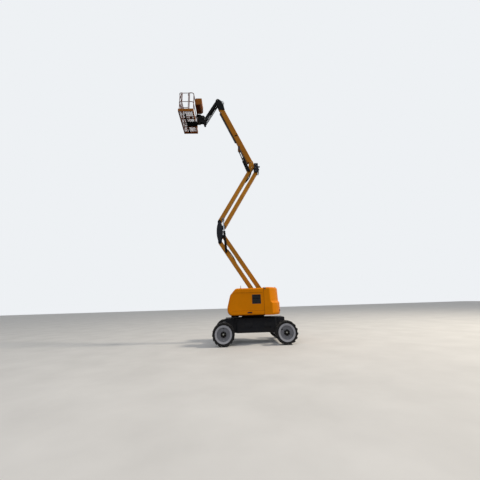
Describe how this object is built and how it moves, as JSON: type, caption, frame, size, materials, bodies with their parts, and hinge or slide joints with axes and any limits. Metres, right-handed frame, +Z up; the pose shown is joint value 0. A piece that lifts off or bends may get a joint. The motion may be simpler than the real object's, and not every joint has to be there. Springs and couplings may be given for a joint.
{
  "type": "articulating boom lift",
  "caption": "Rough-terrain aerial work platform with a slewing turret, parallelogram riser, telescopic boom, jib and railed work platform.",
  "frame": {"origin": "on the ground under the slewing axis, midway between the left and right wheels", "axes": "+X forward, the side where the platform is, +Y to the machine's left, +Z up"},
  "size_m": [4.9458, 2.246, 12.0615],
  "materials": {
    "yellow_paint": "golden yellow enamel, semi-gloss",
    "charcoal_paint": "charcoal enamel, semi-gloss",
    "black_steel": "black enamel, satin",
    "engine_grey": "painted casting",
    "chrome_rod": "ground and chromed",
    "bare_steel": "plain steel",
    "rim_grey": "grey enamel, satin",
    "tyre_rubber": "black rubber",
    "black_plastic": "moulded, matt",
    "floor_steel": "expanded steel"
  },
  "bodies": {
    "chassis": {"chassis_frame": "charcoal_paint", "tie_down_lugs": "charcoal_paint", "slew_bearing": "black_steel", "front_axle": "charcoal_paint", "rear_axle": "charcoal_paint"},
    "knuckle_left": {"steering_knuckle_left": "charcoal_paint"},
    "knuckle_right": {"steering_knuckle_right": "charcoal_paint"},
    "steering_rod_body": {"steering_rod": "bare_steel"},
    "turntable": {"turntable_frame": "black_steel", "counterweight": "yellow_paint", "engine_block": "engine_grey", "hydraulic_tank": "black_steel"},
    "hood_left_body": {"hood_left": "yellow_paint", "hood_vent_left": "black_plastic"},
    "hood_right_body": {"hood_right": "yellow_paint", "hood_vent_right": "black_plastic"},
    "lower_arm_body": {"lower_arm": "yellow_paint"},
    "lower_link_body": {"lower_link": "yellow_paint"},
    "middle_body": {"middle_bracket": "black_steel", "middle_cover": "black_steel"},
    "upper_arm_body": {"upper_arm": "yellow_paint"},
    "upper_link_body": {"upper_link": "yellow_paint"},
    "upper_knuckle_body": {"upper_knuckle": "yellow_paint", "knuckle_bracket": "black_steel", "valve_covers": "charcoal_paint"},
    "riser_barrel_body": {"riser_cylinder_barrels": "black_steel"},
    "riser_rod_body": {"riser_cylinder_rods": "chrome_rod"},
    "boom_body": {"boom_outer": "yellow_paint", "hose_carrier": "black_plastic"},
    "extension_body": {"boom_extension": "yellow_paint", "boom_head": "black_steel"},
    "lift_barrel_body": {"lift_cylinder_barrels": "black_steel"},
    "lift_rod_body": {"lift_cylinder_rods": "chrome_rod"},
    "level_body": {"levelling_link": "black_steel"},
    "jib_body": {"jib_arm": "black_steel"},
    "levelling_rods_body": {"levelling_rods": "black_steel"},
    "jib_barrel_body": {"jib_cylinder_barrel": "black_steel"},
    "jib_rod_body": {"jib_cylinder_rod": "chrome_rod"},
    "rotator_body": {"platform_rotator": "black_steel"},
    "platform_body": {"platform_support": "black_steel", "platform_floor": "floor_steel", "guard_rails": "yellow_paint", "toe_boards": "yellow_paint", "control_console": "yellow_paint"},
    "gate_body": {"platform_gate": "yellow_paint"},
    "front_left_wheel": {"front_left_rim": "rim_grey", "front_left_tyre": "tyre_rubber"},
    "front_right_wheel": {"front_right_rim": "rim_grey", "front_right_tyre": "tyre_rubber"},
    "rear_left_wheel": {"rear_left_rim": "rim_grey", "rear_left_tyre": "tyre_rubber"},
    "rear_right_wheel": {"rear_right_rim": "rim_grey", "rear_right_tyre": "tyre_rubber"}
  },
  "joints": [
    {"name": "slew", "type": "hinge", "parent": "chassis", "child": "turntable", "pos_m": [0, 0, 1.03], "axis": [0, 0, 1], "range_deg": [-177.5, 177.5]},
    {"name": "steer_left", "type": "hinge", "parent": "chassis", "child": "knuckle_left", "pos_m": [1.19, 0.725, 0.42], "axis": [0, 0, 1], "range_deg": [-35, 35]},
    {"name": "steer_right", "type": "hinge", "parent": "chassis", "child": "knuckle_right", "pos_m": [1.19, -0.725, 0.42], "axis": [0, 0, 1], "range_deg": [-36, 36]},
    {"name": "steering_rod_slide", "type": "slide", "parent": "chassis", "child": "steering_rod_body", "axis": [0, -1, 0], "range_m": [-0.12, 0.12]},
    {"name": "front_left_wheel_spin", "type": "hinge", "parent": "knuckle_left", "child": "front_left_wheel", "pos_m": [1.19, 0.975, 0.42], "axis": [0, 1, 0], "continuous": true},
    {"name": "front_right_wheel_spin", "type": "hinge", "parent": "knuckle_right", "child": "front_right_wheel", "pos_m": [1.19, -0.975, 0.42], "axis": [0, 1, 0], "continuous": true},
    {"name": "rear_left_wheel_spin", "type": "hinge", "parent": "chassis", "child": "rear_left_wheel", "pos_m": [-1.16, 0.975, 0.42], "axis": [0, 1, 0], "continuous": true},
    {"name": "rear_right_wheel_spin", "type": "hinge", "parent": "chassis", "child": "rear_right_wheel", "pos_m": [-1.16, -0.975, 0.42], "axis": [0, 1, 0], "continuous": true},
    {"name": "hood_left_open", "type": "hinge", "parent": "turntable", "child": "hood_left_body", "pos_m": [0, 0.3503, 2.01], "axis": [1, 0, 0], "range_deg": [0, 60]},
    {"name": "hood_right_open", "type": "hinge", "parent": "turntable", "child": "hood_right_body", "pos_m": [0, -0.3503, 2.01], "axis": [-1, 0, 0], "range_deg": [0, 60]},
    {"name": "riser_lift", "type": "hinge", "parent": "turntable", "child": "lower_arm_body", "pos_m": [-0.371, 0, 1.46], "axis": [0, -1, 0], "range_deg": [-56, 9]},
    {"name": "lower_link_turn", "type": "hinge", "parent": "turntable", "child": "lower_link_body", "pos_m": [-0.55957, 0, 1.69204], "axis": [0, -1, 0], "range_deg": [-57, 10]},
    {"name": "middle_bracket_turn", "type": "hinge", "parent": "lower_arm_body", "child": "middle_body", "pos_m": [1.3493, 0, 4.11308], "axis": [0, -1, 0], "range_deg": [-10, 57]},
    {"name": "upper_arm_turn", "type": "hinge", "parent": "middle_body", "child": "upper_arm_body", "pos_m": [1.3693, 0, 5.06008], "axis": [0, -1, 0], "range_deg": [-10, 57]},
    {"name": "upper_link_turn", "type": "hinge", "parent": "middle_body", "child": "upper_link_body", "pos_m": [1.1593, 0, 4.82008], "axis": [0, -1, 0], "range_deg": [-10, 57]},
    {"name": "knuckle_turn", "type": "hinge", "parent": "upper_arm_body", "child": "upper_knuckle_body", "pos_m": [-0.2307, 0, 7.83136], "axis": [0, -1, 0], "range_deg": [-57, 10]},
    {"name": "riser_cylinder_turn", "type": "hinge", "parent": "lower_arm_body", "child": "riser_barrel_body", "pos_m": [1.07183, 0, 3.68516], "axis": [0, -1, 0], "range_deg": [-8.37, 41.66]},
    {"name": "riser_cylinder_stroke", "type": "slide", "parent": "riser_barrel_body", "child": "riser_rod_body", "axis": [0.0928, 0, 0.9957], "range_m": [-0.539, 0.095]},
    {"name": "boom_luff", "type": "hinge", "parent": "upper_knuckle_body", "child": "boom_body", "pos_m": [-0.2207, 0, 8.12136], "axis": [0, -1, 0], "range_deg": [-66, 8]},
    {"name": "lift_cylinder_turn", "type": "hinge", "parent": "upper_knuckle_body", "child": "lift_barrel_body", "pos_m": [-0.0807, 0, 7.64136], "axis": [0, -1, 0], "range_deg": [-55.15, 8.44]},
    {"name": "lift_cylinder_stroke", "type": "slide", "parent": "lift_barrel_body", "child": "lift_rod_body", "axis": [0.3264, 0, 0.9452], "range_m": [-0.493, 0.069]},
    {"name": "boom_extend", "type": "slide", "parent": "boom_body", "child": "extension_body", "axis": [0.3987, 0, 0.9171], "range_m": [0, 1.5]},
    {"name": "platform_level", "type": "hinge", "parent": "extension_body", "child": "level_body", "pos_m": [1.45803, 0, 11.98218], "axis": [0, -1, 0], "range_deg": [-9, 67]},
    {"name": "jib_luff", "type": "hinge", "parent": "level_body", "child": "jib_body", "pos_m": [1.45803, 0, 11.98218], "axis": [0, -1, 0], "range_deg": [-3, 122]},
    {"name": "levelling_rods_turn", "type": "hinge", "parent": "level_body", "child": "levelling_rods_body", "pos_m": [1.45803, 0, 11.65218], "axis": [0, -1, 0], "range_deg": [-4, 123]},
    {"name": "jib_cylinder_turn", "type": "hinge", "parent": "level_body", "child": "jib_barrel_body", "pos_m": [1.45803, 0, 11.65218], "axis": [0, -1, 0], "range_deg": [-4.94, 121.72]},
    {"name": "jib_cylinder_stroke", "type": "slide", "parent": "jib_barrel_body", "child": "jib_rod_body", "axis": [0.5836, 0, -0.812], "range_m": [-0.024, 0.585]},
    {"name": "rotator_level", "type": "hinge", "parent": "jib_body", "child": "rotator_body", "pos_m": [2.11097, 0, 10.74377], "axis": [0, -1, 0], "range_deg": [-123, 4]},
    {"name": "platform_rotate", "type": "hinge", "parent": "rotator_body", "child": "platform_body", "pos_m": [2.41097, 0, 10.74377], "axis": [0, 0, 1], "range_deg": [-80, 80]},
    {"name": "gate_open", "type": "hinge", "parent": "platform_body", "child": "gate_body", "pos_m": [3.24097, 0.9067, 11.12677], "axis": [0, 0, 1], "range_deg": [0, 90]}
  ],
  "couplings": [
    {"joint": "steer_right", "follows": "steer_left", "ratio": 1},
    {"joint": "steering_rod_slide", "follows": "steer_left", "m_per_rad": -0.18},
    {"joint": "lower_link_turn", "follows": "riser_lift", "ratio": 1},
    {"joint": "middle_bracket_turn", "follows": "riser_lift", "ratio": -1},
    {"joint": "upper_arm_turn", "follows": "riser_lift", "ratio": -1},
    {"joint": "upper_link_turn", "follows": "riser_lift", "ratio": -1},
    {"joint": "knuckle_turn", "follows": "riser_lift", "ratio": 1},
    {"joint": "riser_cylinder_turn", "follows": "riser_lift", "ratio": -0.70812},
    {"joint": "riser_cylinder_stroke", "follows": "riser_lift", "m_per_rad": 0.54155},
    {"joint": "lift_cylinder_turn", "follows": "boom_luff", "ratio": 0.8053},
    {"joint": "lift_cylinder_stroke", "follows": "boom_luff", "m_per_rad": 0.41965},
    {"joint": "platform_level", "follows": "boom_luff", "ratio": -1},
    {"joint": "levelling_rods_turn", "follows": "jib_luff", "ratio": 1},
    {"joint": "jib_cylinder_turn", "follows": "jib_luff", "ratio": 0.9813},
    {"joint": "jib_cylinder_stroke", "follows": "jib_luff", "m_per_rad": 0.26987},
    {"joint": "rotator_level", "follows": "jib_luff", "ratio": -1}
  ]
}
